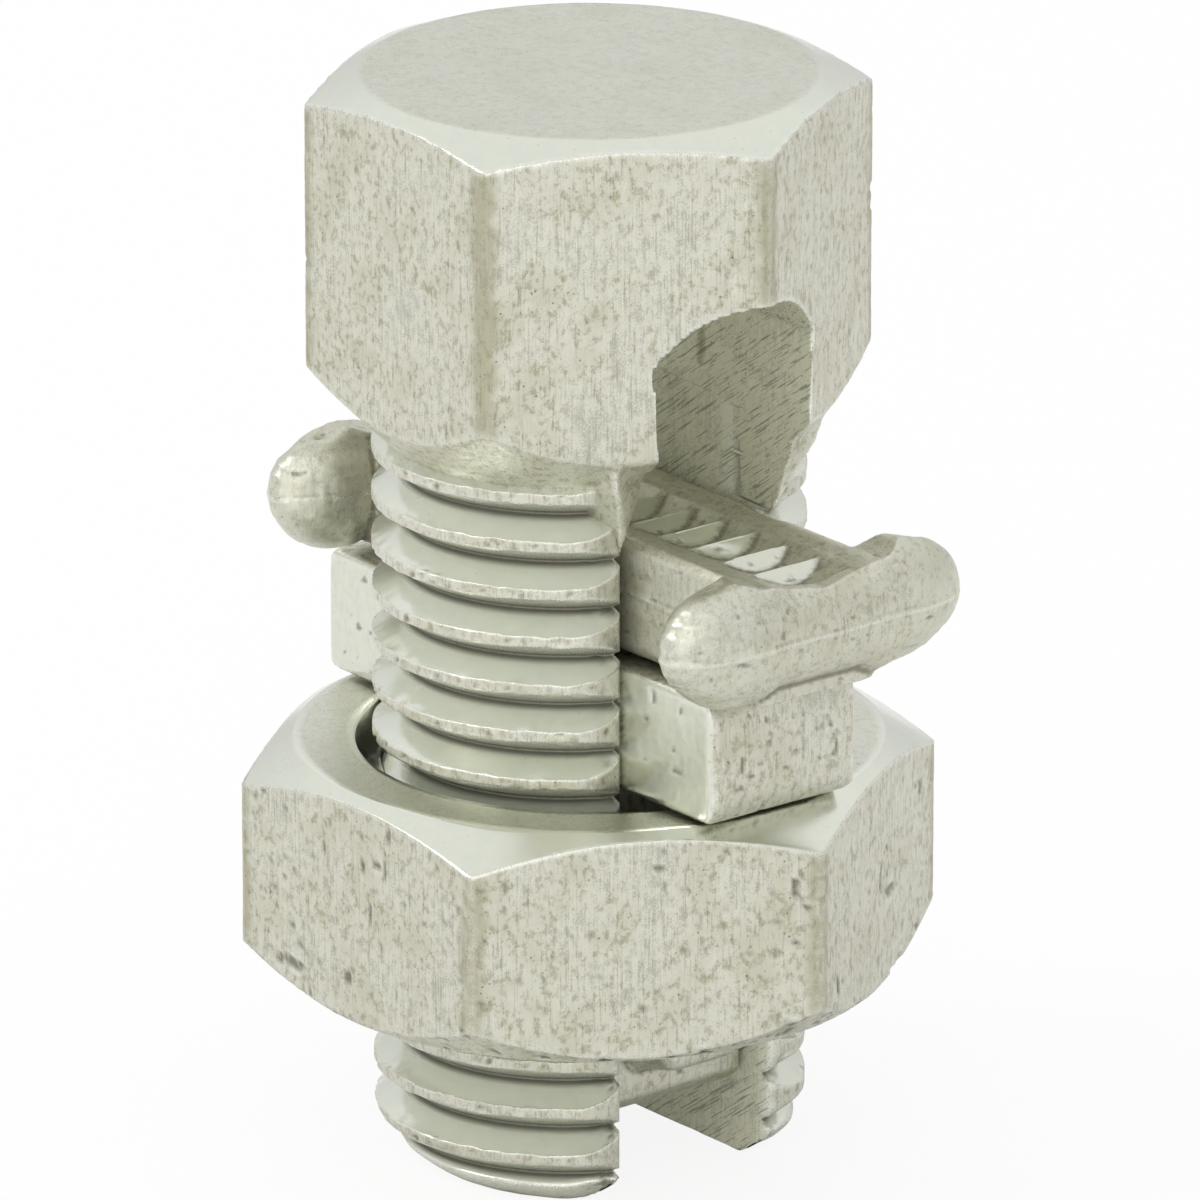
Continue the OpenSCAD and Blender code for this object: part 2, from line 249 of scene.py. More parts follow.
def mask(piece, name, values):
    """Stores a value from 0 to 1 on each vertex, for the finish to read."""
    layer = piece.data.attributes.new(name, "FLOAT", "POINT")
    layer.data.foreach_set("value", np.clip(values, 0, 1).astype(np.float32))


def settle(piece):
    """Applies the piece's modifiers, so that its mesh is final."""
    graph = bpy.context.evaluated_depsgraph_get()
    made = bpy.data.meshes.new_from_object(piece.evaluated_get(graph))
    old = piece.data
    piece.modifiers.clear()
    piece.data = made
    bpy.data.meshes.remove(old)
    return piece


def even_skin(piece, voxel):
    """Adds the modifier that gives the piece one even skin of small quads."""
    change = piece.modifiers.new("skin", "REMESH")
    change.mode = "VOXEL"
    change.voxel_size = voxel


def reskin(piece, voxel, passes):
    """Gives the piece one even skin of small quads and rounds its edges a little."""
    even_skin(piece, voxel)
    relax = piece.modifiers.new("relax", "SMOOTH")
    relax.factor = 0.5
    relax.iterations = passes
    return settle(piece)


def copy_of(node, name):
    """A new piece with the same mesh as a CAD node."""
    piece = new_object(name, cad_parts[node].data.copy())
    piece.data.materials.clear()
    work = bmesh.new()
    work.from_mesh(piece.data)
    bmesh.ops.remove_doubles(work, verts=work.verts, dist=0.001 * MM)
    work.to_mesh(piece.data)
    work.free()
    return piece


def bulge(piece, passes=1):
    """How far each vertex stands out from its neighbours, from -1 in a dip to 1 on an edge."""
    p, n = places(piece), normals(piece)
    ends = np.empty(len(piece.data.edges) * 2, np.int64)
    piece.data.edges.foreach_get("vertices", ends)
    a, b = ends.reshape(-1, 2).T
    count = np.maximum(np.bincount(a, minlength=len(p)) + np.bincount(b, minlength=len(p)), 1)

    def mean(values):
        """The mean of each vertex's neighbours."""
        return (np.bincount(a, values[b], len(p)) + np.bincount(b, values[a], len(p))) / count

    around = np.stack([mean(p[:, k]) for k in range(3)], 1)
    size = np.linalg.norm(p[a] - p[b], axis=1).mean()
    out = np.clip(((p - around) * n).sum(1) / size * 5, -1, 1)
    for _ in range(passes):
        out = (out + mean(out)) / 2
    return out


def weather(piece, seed, wave=0.05, grit=0.02, pits=0.05, calm=None):
    """Presses the skin inwards with shallow waves, fine grit and pits, in millimetres."""
    p, n = places(piece), normals(piece)
    rough = 1 if calm is None else 1 - calm
    depth = wave * (0.5 + 0.5 * noise(p, 2.4 * MM, seed, 2))
    depth += grit * rough * (0.5 + 0.5 * noise(p, 0.3 * MM, seed + 1, 2))
    depth += pits * rough * ease(noise(p, 0.55 * MM, seed + 2), 0.5, 0.75)
    move_to(piece, p - n * (depth * MM)[:, None])


def gouges(piece, seed, depth=0.1):
    """Scattered shallow gouges, drawn out up and down or level, on upright faces only."""
    p, n = places(piece), normals(piece)
    upright = 1 - ease(np.abs(n[:, 2]), 0.3, 0.5)
    tall = ease(noise(p, 0.6 * MM, seed, 2, (1, 1, 3.5)), 0.42, 0.62)
    level = ease(noise(p, 0.6 * MM, seed + 3, 2, (4, 4, 1)), 0.45, 0.65)
    where = ease(noise(p, 4 * MM, seed + 5, 2), -0.05, 0.35)
    move_to(piece, p - n * (upright * where * (tall + level) * depth * MM)[:, None])


def mark(piece, smooth=0, sawn=0, corner=0, dark=0):
    """Stores where a piece is smooth, sawn or a worn hex corner, its edges with their painted highlight,
    and its hollows with their painted shade.
    """
    none = np.zeros(len(piece.data.vertices))
    stands = bulge(piece)
    mask(piece, "smooth", none + smooth)
    mask(piece, "sawn", none + sawn)
    mask(piece, "corner", none + corner)
    # edges carry rubbed plating and a painted highlight
    mask(piece, "edge", ease(stands, 0.12, 0.5))
    # the mask of painted shade: concave spots, plus the shade handed in as dark, along thread roots and at
    # the foot of each tooth
    mask(piece, "hollow_shade", np.maximum(ease(-stands, 0.1, 0.45), dark))


def corner_share(p, turn, flats):
    """1 along a hex's upright corners and 0 on its flats."""
    phi = (np.arctan2(p[:, 1], p[:, 0]) - turn + HEX_SIDE / 2) % HEX_SIDE - HEX_SIDE / 2
    off = np.abs(np.sin(phi)) * flats / 2 / math.cos(HEX_SIDE / 2)
    edge = 0.5 * MM + 0.45 * MM * noise(p, 0.9 * MM, 31, 3)
    return 1 - ease(off - edge, -0.35 * MM, 0.5 * MM)


def finish_piece(piece, material, body, node):
    """Smooth shading, the finish, and the piece's place in the frame."""
    piece.data.materials.clear()
    piece.data.materials.append(material)
    piece.data.polygons.foreach_set("use_smooth", np.ones(len(piece.data.polygons), bool))
    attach(piece, body)
    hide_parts(node)


# ---- Hexes ----

def sharp_reach(flats):
    """How far the corners of a sharp hex stand from its axis."""
    return flats / 2 / math.cos(HEX_SIDE / 2)


def hex_reach(theta, flats, corner_round, turn=0.0):
    """How far a hex with rounded corners reaches from its axis, at each angle."""
    half = HEX_SIDE / 2
    phi = (theta - turn + half) % HEX_SIDE - half
    corner = np.abs(phi)
    # corners lie at phi = 0 and the middles of the flats at +-30 degrees
    flat = flats / 2 / np.cos(half - corner)
    centre = sharp_reach(flats) - corner_round / math.cos(half)
    inside = np.clip(corner_round ** 2 - (centre * np.sin(corner)) ** 2, 0, None)
    arc = centre * np.cos(corner) + np.sqrt(inside)
    # the arc meets the flat where its radius stands square to it
    meets = math.atan2(corner_round * math.sin(half), centre + corner_round * math.cos(half))
    return np.where(corner < meets, arc, flat)


# ---- Bolt ----

def corner_limit(a, thread_r):
    """How far out the rounded corner of a leg reaches, at an angle from the slot's direction."""
    corner_r, at = 2.5 * MM, math.radians(43)
    orbit = thread_r - corner_r
    along = orbit * np.cos(at - a)
    inside = np.clip(along ** 2 - orbit ** 2 + corner_r ** 2, 0, None)
    return np.where(a >= at, thread_r, along + np.sqrt(inside))


def crest_half(sizes):
    """Half the width of the thread's flat crest, along the axis."""
    return (sizes.pitch - ROOT_FLAT) / 2 - sizes.thread_depth * FLANK_TAN


def thread_leg(sizes, start, name):
    """One threaded leg as a closed skin: helical rows round the thread and back along the slot wall."""
    thread_r = sizes.thread_od / 2
    root = thread_r - sizes.thread_depth
    half = crest_half(sizes)
    wall = sizes.slot_w / 2
    arc_n, wall_n, turns = 98, 16, range(-1, 15 if start else 16)
    flank = np.array([0, 0.03, 0.09, 0.25, 0.45, 0.65, 0.85, 0.95, 1.0])
    crest = np.linspace(-1, 1, 6)[1:-1]
    # each row of one turn: share of the way up a flank, side of the crest and place along the crest
    rows = ([(t, -1, None) for t in flank] + [(1, 0, c) for c in crest]
            + [(t, 1, None) for t in flank[::-1]])
    spread = np.linspace(0, 1, arc_n)
    spread = spread - 0.045 * np.sin(2 * math.pi * spread)
    edge_r = 9.8 * MM
    all_rows = []
    for turn in turns:
        for t, side, c in rows:
            edge_row = root + (edge_r - root) * t
            a0 = math.asin(wall / edge_row)
            a = a0 + (math.pi - 2 * a0) * spread
            top = np.minimum(thread_r, corner_limit(np.minimum(a, math.pi - a), thread_r))
            top[[0, -1]] = edge_r
            r = root + (top - root) * t
            top_half = half + (thread_r - top) * FLANK_TAN
            z = side * (top_half + (top - r) * FLANK_TAN) if side else c * top_half
            z = z + sizes.thread_lift + sizes.pitch * (turn + (start + a) / (2 * math.pi))
            x, y = r * np.cos(a), r * np.sin(a)
            y[[0, -1]] = wall
            back = np.linspace(0, 1, wall_n + 2)[1:-1]
            x = np.concatenate([x, x[-1] + (x[0] - x[-1]) * back])
            y = np.concatenate([y, np.full(wall_n, wall)])
            z = np.concatenate([z, z[-1] + (z[0] - z[-1]) * back])
            all_rows.append(np.stack([x, y, z], 1))
    points = np.array(all_rows)
    # the tips: rounded inwards, then closed flat at the bottom
    tip = np.clip(points[..., 2] / sizes.tip_h, 0, 1)
    reach = np.hypot(points[..., 0], points[..., 1])
    side_near = 1 - ease(np.abs(points[..., 1]), wall + 0.3 * MM, wall + 3 * MM)
    round_in = 2.3 * MM
    side_in = 1.4 * MM
    limit = thread_r - round_in * (1 - tip) ** 1.8 - side_in * side_near * (1 - tip) ** 1.2
    pull = np.minimum(1, limit / reach)
    on_wall = points[..., 1] <= wall + 1e-9
    points[..., 0] *= pull
    points[..., 1] = np.where(on_wall, wall, np.maximum(points[..., 1] * pull, wall))
    below = np.clip(-points[..., 2] / (3 * MM), 0, 1)
    middle = np.array([0, 7.6 * MM])
    for k in range(2):
        points[..., k] += (middle[k] - points[..., k]) * below
    points[..., 2] = np.maximum(points[..., 2], 0)
    if start:
        points[..., 0] *= -1
        points[..., 1] *= -1
    n_rows, n_columns = points.shape[:2]
    return tube(name, points.reshape(-1, 3), n_rows, n_columns)


def head_skin(sizes, top_z):
    """The chamfered hex head down to the cone under it, closed to its axis."""
    columns = 360
    theta = np.arange(columns) * 2 * math.pi / columns
    reach = hex_reach(theta, sizes.head_flats, sizes.corner_round)
    sharp = sharp_reach(sizes.head_flats)
    top_r = sizes.head_top_d / 2
    slope = math.tan(sizes.head_top_slope)
    cone_r = sizes.thread_od / 2 - 0.7 * MM
    ones = np.ones(columns)
    low_z = sizes.head_corner_z - (sharp - cone_r)
    profile = [(0.02 * MM * ones, low_z * ones), (cone_r * ones, low_z * ones)]
    low_edge = sizes.head_corner_z - (sharp - reach)
    high_edge = top_z - (reach - top_r) * slope
    profile += [(reach, low_edge)]
    profile += [(reach, low_edge + (high_edge - low_edge) * s) for s in np.linspace(0.1, 1, 10)]
    profile += [(top_r * ones, top_z * ones), (0.02 * MM * ones, top_z * ones)]
    return tube("head_blank", ring_points(profile, theta), len(profile), columns)


def cheek_skin(sizes, side_x, side_y, name):
    """A tapered tongue from the head down the edge of a leg, closed."""
    low, high = 35.2 * MM, sizes.head_corner_z + 1.2 * MM
    rows = 16
    z = np.linspace(low, high, rows)
    out_x = np.interp(z, [low, 38.8 * MM, 42.3 * MM, high], np.array([8.7, 10.2, 11.1, 11.55]) * MM)
    out_y = np.interp(z, [low, 37.5 * MM, 39.5 * MM, high], np.array([4.9, 5.7, 6.6, 7.2]) * MM)
    inner_x, inner_y = 6 * MM, sizes.slot_w / 2 - 0.4 * MM
    sharp = sharp_reach(sizes.head_flats) - 0.05 * MM
    points = []
    for zk, xk, yk in zip(z, out_x, out_y):
        corner_x = min(xk, sharp - yk * math.tan(math.radians(30)))
        points += [(inner_x, inner_y, zk), (xk, inner_y, zk), (xk, sizes.slot_w / 2, zk),
                   (corner_x, yk, zk), (inner_x, yk + 0.6 * MM, zk)]
    points = np.array(points) * np.array([side_x, side_y, 1])
    return tube(name, points, rows, 5)


def slot_block(sizes):
    """The space of the slot and its arched roof, as a closed block to cut with."""
    spring = sizes.saddle_z - sizes.saddle_rise
    flare = sizes.head_corner_z - 1.5 * MM
    half = sizes.saddle_w / 2
    radius = (half ** 2 + sizes.saddle_rise ** 2) / (2 * sizes.saddle_rise)
    spread = math.asin(half / radius)
    arc = [(radius * math.sin(a), sizes.saddle_z - radius * (1 - math.cos(a)))
           for a in np.linspace(spread, -spread, 41)]
    outline = [(-sizes.slot_w / 2, 30 * MM), (sizes.slot_w / 2, 30 * MM), (sizes.slot_w / 2, flare)]
    outline += arc + [(-sizes.slot_w / 2, flare)]
    ends = [[(x, y, z) for y, z in outline] for x in (-20 * MM, 20 * MM)]
    return tube("slot_block", np.array(ends).reshape(-1, 3), 2, len(outline))


def cut(piece, tool):
    """Takes the tool's space out of the piece, and removes the tool."""
    change = piece.modifiers.new("cut", "BOOLEAN")
    change.object = tool
    change.operation = "DIFFERENCE"
    change.solver = "EXACT"
    change.use_self = True
    settle(piece)
    bpy.data.objects.remove(tool)
    return piece


def joined(name, pieces):
    """Several pieces as one, with their meshes side by side."""
    work = bmesh.new()
    for piece in pieces:
        work.from_mesh(piece.data)
        bpy.data.objects.remove(piece)
    mesh = bpy.data.meshes.new(name)
    work.to_mesh(mesh)
    work.free()
    return new_object(name, mesh)


class MakeBolt(bpy.types.Operator):
    """Make the slotted bolt: its hex head and its two threaded legs"""
    bl_idname = "connector.make_bolt"
    bl_label = "Make the bolt"

    def execute(self, context):
        settings = context.scene.connector
        sizes = settings.bolt
        top_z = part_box("split_bolt")[1].z
        blank = head_skin(sizes, top_z)
        cheeks = [cheek_skin(sizes, sx, sy, "cheek") for sx in (-1, 1) for sy in (-1, 1)]
        head = joined("bolt_head", [blank] + cheeks)
        even_skin(head, SKIN_STEP)
        settle(head)
        cut(head, slot_block(sizes))
        reskin(head, SKIN_STEP, 2)
        self.mark_head(head, sizes)
        weather(head, 3, 0.05, 0.03, 0.03, self.turned(head, sizes))
        gouges(head, 91, 0.07)
        finish_piece(head, plated(settings.finish, "tin_on_head"), "bolt", "split_bolt")
        legs = joined("bolt_legs", [thread_leg(sizes, 0, "leg"), thread_leg(sizes, math.pi, "leg")])
        self.wear_legs(legs, sizes)
        self.mark_legs(legs, sizes)
        finish_piece(legs, plated(settings.finish, "tin_on_thread", 0.72), "bolt", "split_bolt")
        return {"FINISHED"}

    def turned(self, head, sizes):
        """Where the head's top and chamfer were turned smooth."""
        p, n = places(head), normals(head)
        satin = 1 - 0.55 * ease(n[:, 2], 0.975, 0.995)
        return ease(n[:, 2], 0.5, 0.7) * (p[:, 2] > sizes.saddle_z) * satin

    def mark_head(self, head, sizes):
        """Where the head is turned smooth, where the slot was sawn and where its corners are worn."""
        p, n = places(head), normals(head)
        half = np.interp(p[:, 2], [41 * MM, 46 * MM], [sizes.slot_w / 2, sizes.saddle_w / 2])
        inner = (np.abs(p[:, 1]) < half + 0.12 * MM) & (p[:, 2] < sizes.saddle_z + 0.1 * MM)
        sawn = inner & (np.abs(n[:, 0]) < 0.6)
        upright = (1 - ease(np.abs(n[:, 2]), 0.3, 0.6)) * (p[:, 2] > sizes.head_corner_z - 1 * MM)
        corner = corner_share(p, 0, sizes.head_flats) * upright
        mark(head, self.turned(head, sizes), sawn, corner)

    def mark_legs(self, legs, sizes):
        """Where the thread's flanks shine, where the slot was sawn, and the painted shade along the
        thread's roots.
        """
        p, n = places(legs), normals(legs)
        wall = np.abs(p[:, 1]) < sizes.slot_w / 2 + 0.01 * MM
        flank = ease(n[:, 2], 0.45, 0.75) + 0.5 * ease(-n[:, 2], 0.45, 0.75)
        r = np.hypot(p[:, 0], p[:, 1])
        root = sizes.thread_od / 2 - sizes.thread_depth
        # seam here is painted shade: a dark line along the thread's roots, not a real seam
        seam = (1 - ease(r, root + 0.12 * MM, root + 0.42 * MM)) * ~wall * (p[:, 2] > 1 * MM)
        mark(legs, flank * (p[:, 2] > 0.3 * MM) * ~wall, wall, 0, seam)

    def wear_legs(self, legs, sizes):
        """Ragged crests, most of all where the thread meets the slot."""
        p = places(legs)
        r = np.hypot(p[:, 0], p[:, 1])
        crest = ease(r, sizes.thread_od / 2 - 0.5 * MM, sizes.thread_od / 2 - 0.1 * MM)
        near = 1 - ease(np.abs(p[:, 1]), sizes.slot_w / 2 + 0.2 * MM, sizes.slot_w / 2 + 2 * MM)
        free = np.abs(p[:, 1]) > sizes.slot_w / 2 + 0.02 * MM
        bite = np.clip(noise(p, 0.5 * MM, 8, 2), 0, 1) * (0.16 * crest + 0.25 * near)
        shrink = 1 - free * bite * MM / np.maximum(r, MM)
        lift = free * (crest + near) * 0.07 * MM * noise(p, 0.6 * MM, 9, 2) * (p[:, 2] > 1 * MM)
        # beside the head's tongues the wall steps back, so that theirs is the one seen
        tongue = ease(p[:, 2], 35.4 * MM, 36 * MM) * ease(np.abs(p[:, 0]), 6.2 * MM, 6.6 * MM)
        back = np.sign(p[:, 1]) * tongue * ~free * 0.25 * MM
        move_to(legs, np.stack([p[:, 0] * shrink, p[:, 1] * shrink + back, p[:, 2] + lift], 1))


# ---- Nut ----

class MakeNut(bpy.types.Operator):
    """Make the hex nut, with its chamfers, countersink and threaded bore"""
    bl_idname = "connector.make_nut"
    bl_label = "Make the nut"

    def execute(self, context):
        settings = context.scene.connector
        nut = self.skin(settings)
        self.wear(nut, settings)
        self.mark(nut, settings)
        finish_piece(nut, plated(settings.finish, "tin_on_nut"), "nut", "hex_nut")
        return {"FINISHED"}

    def skin(self, settings):
        """The nut as one closed skin of columns round its axis."""
        sizes, bolt = settings.nut, settings.bolt
        low, high = (corner.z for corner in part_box("hex_nut"))
        columns = 600
        theta = np.arange(columns) * 2 * math.pi / columns
        reach = hex_reach(theta, sizes.flats, sizes.corner_round, sizes.turn)
        ones = np.ones(columns)
        sink_r = sizes.countersink_d / 2
        thread_r = bolt.thread_od / 2 + 0.15 * MM
        bore_r = bolt.thread_od / 2 - bolt.thread_depth + 0.3 * MM
        high_edge = high - (reach - sizes.top_face_r) * math.tan(sizes.top_slope)
        low_edge = low + (reach - sizes.under_face_r) * math.tan(sizes.under_slope)
        rows = []
        for s in np.linspace(0, 1, 8):
            rows.append((sink_r + (sizes.top_face_r - sink_r) * s * ones, high * ones))
        for s in np.linspace(0, 1, 12)[1:]:
            rows.append((sizes.top_face_r + (reach - sizes.top_face_r) * s,
                         high + (high_edge - high) * s))
        for s in np.linspace(0, 1, 40)[1:]:
            rows.append((reach, high_edge + (low_edge - high_edge) * s))
        for s in np.linspace(0, 1, 10)[1:]:
            rows.append((reach + (sizes.under_face_r - reach) * s, low_edge + (low - low_edge) * s))
        relief_r = thread_r + 0.15 * MM
        for s in np.linspace(0, 1, 6)[1:]:
            rows.append((sizes.under_face_r + (relief_r - sizes.under_face_r) * s * ones, low * ones))
        half = crest_half(bolt) + 0.05 * MM
        for z in np.linspace(low, high, 70)[1:-1]:
            wave = (z - bolt.thread_lift) / bolt.pitch - theta / (2 * math.pi)
            off = np.abs((wave + 0.5) % 1 - 0.5) * bolt.pitch
            thread = np.clip(thread_r - (off - half) / FLANK_TAN, bore_r, thread_r)
            cone = np.maximum(sink_r - (high - z), relief_r - (z - low))
            rows.append((np.maximum(thread, cone), z * ones))
        quads = grid_faces(len(rows), columns, wrap_rows=True, wrap_columns=True)
        return mesh_from("hex_nut_skin", ring_points(rows, theta), quads)

    def turned(self, nut, settings):
        """Where the nut's top, chamfer and countersink were turned smooth."""
        p, n = places(nut), normals(nut)
        r = np.hypot(p[:, 0], p[:, 1])
        inside = r < settings.nut.countersink_d / 2 - 0.3 * MM
        satin = 1 - 0.5 * ease(n[:, 2], 0.96, 0.99)
        return np.maximum(ease(n[:, 2], 0.45, 0.65) * satin, inside)

    def wear(self, nut, settings):
        """Waves, grit and pits on the flats, and nicks along the lower rim."""
        weather(nut, 21, 0.06, 0.035, 0.035, self.turned(nut, settings))
        gouges(nut, 81, 0.1)
        sizes = settings.nut
        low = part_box("hex_nut")[0].z
        p = places(nut)
        r = np.hypot(p[:, 0], p[:, 1])
        rim = low + (r - sizes.under_face_r) * math.tan(sizes.under_slope)
        near = np.exp(-((p[:, 2] - rim) / (0.4 * MM)) ** 2) * (r > sizes.flats / 2 - 0.3 * MM)
        nick = near * ease(noise(p, 0.9 * MM, 27, 2), 0.2, 0.6) * 0.22 * MM
        move_to(nut, p * np.stack([1 - nick / r, 1 - nick / r, np.ones(len(r))], 1))

    def mark(self, nut, settings):
        """Where the nut is turned smooth and where its corners are worn."""
        p, n = places(nut), normals(nut)
        upright = 1 - ease(np.abs(n[:, 2]), 0.3, 0.6)
        corner = corner_share(p, settings.nut.turn, settings.nut.flats) * upright
        outside = np.hypot(p[:, 0], p[:, 1]) > settings.nut.flats / 2 - 0.5 * MM
        mark(nut, self.turned(nut, settings), 0, corner * outside)


# ---- Pressure bar and spacer bar ----

class MakePressureBar(bpy.types.Operator):
    """Make the pressure bar with its staked stem"""
    bl_idname = "connector.make_pressure_bar"
    bl_label = "Make the pressure bar"

    def execute(self, context):
        settings = context.scene.connector
        bar = reskin(copy_of("pressure_bar", "pressure_bar_skin"), SKIN_STEP, 2)
        weather(bar, 41, 0.05, 0.03, 0.05)
        self.gouge(bar)
        side = ease(np.abs(normals(bar)[:, 1]), 0.6, 0.9)
        mark(bar, side * 0.7)
        finish_piece(bar, plated(settings.finish, "tin_on_bar"), "bar", "pressure_bar")
        return {"FINISHED"}

    def gouge(self, bar):
        """Upright shear marks on the bar's two ends."""
        p, n = places(bar), normals(bar)
        end = ease(np.abs(n[:, 0]), 0.6, 0.9) * (p[:, 2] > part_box("hex_nut")[1].z)
        mark_depth = np.clip(noise(p, 0.3 * MM, 43, 2, (1, 1, 9)), 0, 1) * end * 0.06 * MM
        move_to(bar, p - n * mark_depth[:, None])


class MakeSpacerBar(bpy.types.Operator):
    """Make the loose spacer bar with its cable teeth"""
    bl_idname = "connector.make_spacer_bar"
    bl_label = "Make the spacer bar"

    def execute(self, context):
        settings = context.scene.connector
        spacer = reskin(copy_of("spacer_bar", "spacer_bar_skin"), TOOTH_STEP, 1)
        teeth = self.cut_teeth(spacer)
        weather(spacer, 61, 0.16, 0.02, 0.03)
        self.dent_lobes(spacer)
        self.parting(spacer)
        p, n = places(spacer), normals(spacer)
        lobe = ease(np.abs(p[:, 1]), 4.6 * MM, 5.6 * MM) * (0.6 + 0.4 * noise(p, 1.8 * MM, 66, 2))
        # the teeth's faces get smooth bright plating, partly a painted highlight, and behind their edges
        # shade is painted
        mark(spacer, np.maximum(lobe * 0.3 + 0.1, np.clip(teeth, 0, 1)), 0, 0, np.clip(-teeth, 0, 1))
        finish_piece(spacer, plated(settings.finish, "tin_on_spacer", 0.8, 0.16), "spacer", "spacer_bar")
        return {"FINISHED"}

    def cut_teeth(self, spacer):
        """Deepens the gullets between the cable teeth; 1 on a tooth's face, which gets smooth bright
        plating that is partly a painted highlight, and -1 behind its edge, where shade is painted.
        """
        p, n = places(spacer), normals(spacer)
        pitch = 2.5 * MM
        first = -14.5 * MM
        half = 2.4 * MM
        count = 13
        deepest = 0.45 * MM
        along = ((p[:, 0] - first) / pitch) % 1
        across = np.clip(1 - (p[:, 1] / half) ** 2, 0, 1)
        inside = across * ease(n[:, 2], 0.2, 0.5) * (p[:, 0] > first) * (p[:, 0] < first + count * pitch)
        slope = np.clip((along - 0.08) / (0.05 + 0.4 * across), 0, 1) + (1 - ease(along, 0.02, 0.07))
        drop = inside * slope * deepest
        move_to(spacer, p - np.stack([0 * drop, 0 * drop, drop], 1))
        face = ease(along, 0.05, 0.1) * ease(0.12 + 0.42 * across - along, 0, 0.06)
        # behind marks the foot of each tooth, where shade is painted
        behind = np.maximum(ease(along, 0.86, 0.98), 1 - ease(along, 0.02, 0.06))
        return ease(inside, 0.04, 0.16) * (face - behind * 0.7)

    def dent_lobes(self, spacer):
        """Broad flats and a dimple that the forging dies left on each lobe."""
        p, n = places(spacer), normals(spacer)
        low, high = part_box("spacer_bar")
        lobe = ease(np.abs(p[:, 1]), 3.2 * MM, 5 * MM)
        flat = ease(noise(p, 3.1 * MM, 71, 1), -0.1, 0.5) * 0.24
        lines = ease(noise(p, 0.5 * MM, 72, 2, (6, 6, 1)), 0.1, 0.5) * 0.035
        dimple_x = 15.6 * MM
        dimple_y = 6.6 * MM
        across = (np.abs(p[:, 1]) - dimple_y) / (0.95 * MM)
        along = (np.abs(p[:, 0] - (low.x + high.x) / 2) - dimple_x) / (0.6 * MM)
        dimple = np.exp(-across ** 2 - along ** 2) * ease(n[:, 2], 0.1, 0.5) * 0.3
        move_to(spacer, p - n * (lobe * (flat + lines + dimple) * MM)[:, None])

    def parting(self, spacer):
        """The fine forging seam round the cross bars at mid height."""
        p, n = places(spacer), normals(spacer)
        low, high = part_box("spacer_bar")
        middle = (low.z + high.z) / 2 + 0.15 * MM * noise(p, 4 * MM, 65)
        seam = np.exp(-((p[:, 2] - middle) / (0.13 * MM)) ** 2)
        outside = ease(np.abs(n[:, 0]) + np.abs(n[:, 1]), 0.6, 0.9)
        move_to(spacer, p + n * (seam * outside * 0.06 * MM)[:, None])


# ---- Finishes ----

class Signal:
    """A shader socket that takes part in plain arithmetic."""

    def __init__(self, finish, socket):
        self.finish, self.socket = finish, socket

    def maths(self, operation, *values, clamp=False):
        return self.finish.node("ShaderNodeMath", {"operation": operation, "use_clamp": clamp},
                                dict(enumerate(values)))[0]

    def __add__(self, other):
        return self.maths("ADD", self, other)

    def __sub__(self, other):
        return self.maths("SUBTRACT", self, other)

    def __mul__(self, other):
        return self.maths("MULTIPLY", self, other)

    def __rsub__(self, other):
        return self.maths("SUBTRACT", other, self)

    __radd__ = __add__
    __rmul__ = __mul__

    def clamped(self):
        return self.maths("ADD", self, 0.0, clamp=True)

    def between(self, low, high):
        """0 where this is below low, 1 above high and smooth between; low may be above high."""
        return self.finish.node("ShaderNodeMapRange", {"interpolation_type": "SMOOTHSTEP"},
                                {"Value": self, "From Min": low, "From Max": high})[0]


class Outputs:
    """A node's outputs as signals, by number or name."""

    def __init__(self, finish, node):
        self.finish, self.node = finish, node

    def __getitem__(self, key):
        return Signal(self.finish, self.node.outputs[key])


class Finish:
    """A material under construction."""

    def __init__(self, name):
        self.material = bpy.data.materials.new(name)
        self.material.use_nodes = True
        self.tree = self.material.node_tree
        self.tree.nodes.clear()
        self.object_place = self.node("ShaderNodeTexCoord")["Object"]

    def node(self, kind, settings=None, values=None):
        """Adds a node with its settings, then the values or links of its sockets."""
        made = self.tree.nodes.new(kind)
        for key, value in (settings or {}).items():
            setattr(made, key, value)
        for key, value in (values or {}).items():
            if isinstance(value, Signal):
                self.tree.links.new(value.socket, made.inputs[key])
            else:
                made.inputs[key].default_value = value
        return Outputs(self, made)

    def mask(self, name):
        """A value stored on the piece's vertices."""
        return self.node("ShaderNodeAttribute", {"attribute_name": name})["Fac"]

    def place(self, stretch=(1, 1, 1), turn=(0, 0, 0)):
        """The place on the piece, with some axes drawn out."""
        turned = self.node("ShaderNodeMapping", {}, {"Vector": self.object_place, "Rotation": turn})[0]
        return self.node("ShaderNodeMapping", {}, {"Vector": turned, "Scale": [1 / s for s in stretch]})[0]

    def noise(self, grain, detail=3, roughness=0.55, where=None):
        """Noise from 0 to 1 with lumps about grain across."""
        return self.node("ShaderNodeTexNoise", {}, {
            "Vector": where or self.object_place, "Scale": 1 / grain, "Detail": detail,
            "Roughness": roughness})["Fac"]

    def cells(self, grain):
        """Distance to the nearest of scattered points about grain apart."""
        return self.node("ShaderNodeTexVoronoi", {"feature": "F1"}, {
            "Vector": self.object_place, "Scale": 1 / grain})["Distance"]

    def blend(self, factor, first, second):
        """A colour between two colours."""
        def full(c):
            return c if isinstance(c, Signal) else (*c, 1)
        return self.node("ShaderNodeMix", {"data_type": "RGBA"},
                         {0: factor, 6: full(first), 7: full(second)})[2]

    def bump(self, height, depth):
        """A bump from a height of 0 to 1 that stands depth metres high."""
        return self.node("ShaderNodeBump", {},
                         {"Height": height, "Distance": depth, "Strength": 1.0})[0]

    def surface(self, **values):
        """The metal surface itself."""
        named = {key.replace("_", " "): value for key, value in values.items()}
        shader = self.node("ShaderNodeBsdfPrincipled", {}, named)
        self.node("ShaderNodeOutputMaterial", {}, {"Surface": shader["BSDF"]})
        return self.material


